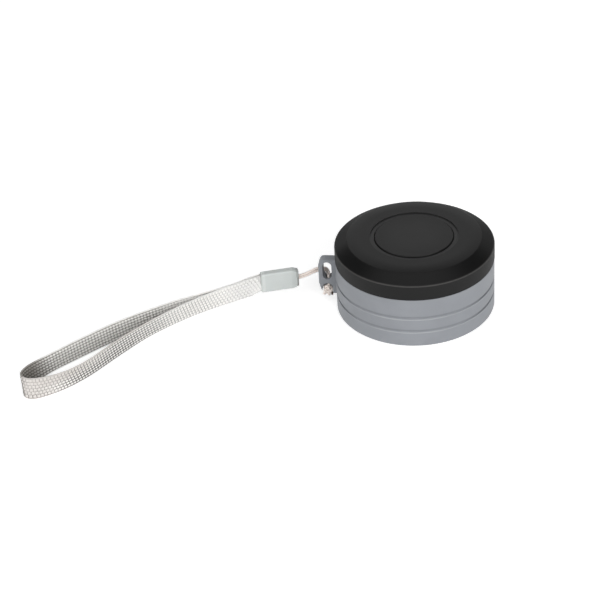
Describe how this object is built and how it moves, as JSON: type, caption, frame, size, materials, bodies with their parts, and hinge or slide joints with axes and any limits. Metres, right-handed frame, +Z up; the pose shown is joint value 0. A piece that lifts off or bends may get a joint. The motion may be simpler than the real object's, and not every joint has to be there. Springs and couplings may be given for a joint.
{
  "type": "clicker trainer",
  "caption": "Round hand clicker: grey grooved body, bevelled black cap with a flush press button, and a side lug holding a woven wrist loop on a knotted cord.",
  "frame": {"origin": "centre of the base, on the surface it stands on", "axes": "+Z up along the button's axis, -X towards the strap lug"},
  "size_m": [0.1673, 0.101, 0.0296],
  "materials": {
    "body_grey": "fine satin moulding",
    "base_grey": "fine satin moulding",
    "cap_black": "satin",
    "button_black": "satin",
    "spring_steel": "bright spring steel",
    "inner_plastic": "natural moulding",
    "screw_steel": "zinc plated",
    "cord": "braided",
    "clamp_plastic": "satin",
    "webbing": "woven"
  },
  "bodies": {
    "case": {"body_shell": "body_grey", "base_cover": "base_grey", "cap": "cap_black", "return_spring": "spring_steel", "click_dome": "spring_steel", "dome_retainer": "inner_plastic", "sound_cup": "inner_plastic", "case_screws": "screw_steel", "strap_cord": "cord", "cord_knot": "cord", "clamp_front": "clamp_plastic", "clamp_back": "clamp_plastic", "webbing": "webbing"},
    "button": {"press_button": "button_black"}
  },
  "joints": [
    {"name": "button_press", "type": "slide", "parent": "case", "child": "button", "axis": [0, 0, -1], "range_m": [0, 0.0016], "stiffness_N_per_m": 450, "springref_m": -0.0016, "deforming": ["return_spring", "click_dome"]}
  ]
}
